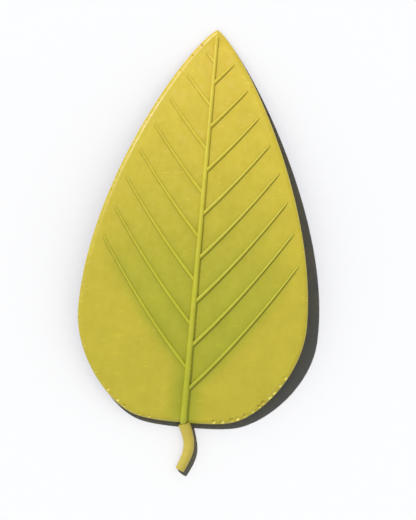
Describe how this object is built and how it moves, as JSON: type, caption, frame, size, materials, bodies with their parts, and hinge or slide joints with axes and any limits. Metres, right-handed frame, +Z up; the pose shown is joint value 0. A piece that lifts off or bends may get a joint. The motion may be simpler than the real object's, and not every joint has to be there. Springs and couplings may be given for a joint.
{
  "type": "ovate leaf",
  "caption": "Broad ovate leaf, picked and lying face up, with a raised midrib, ribbed side veins and a short curved stalk.",
  "frame": {"origin": "middle of the overall bounding box in plan, on the surface that the leaf lies on", "axes": "+Y along the midrib from the stalk towards the tip, +Z up through the upper face, +X to the right seen from above with the tip pointing away"},
  "size_m": [0.1162, 0.225, 0.0172],
  "materials": {
    "leaf_tissue": "satin, waxy yellow-green leaf skin, fresh and slightly mottled"
  },
  "bodies": {
    "root": {"leaf": "leaf_tissue"}
  },
  "joints": []
}
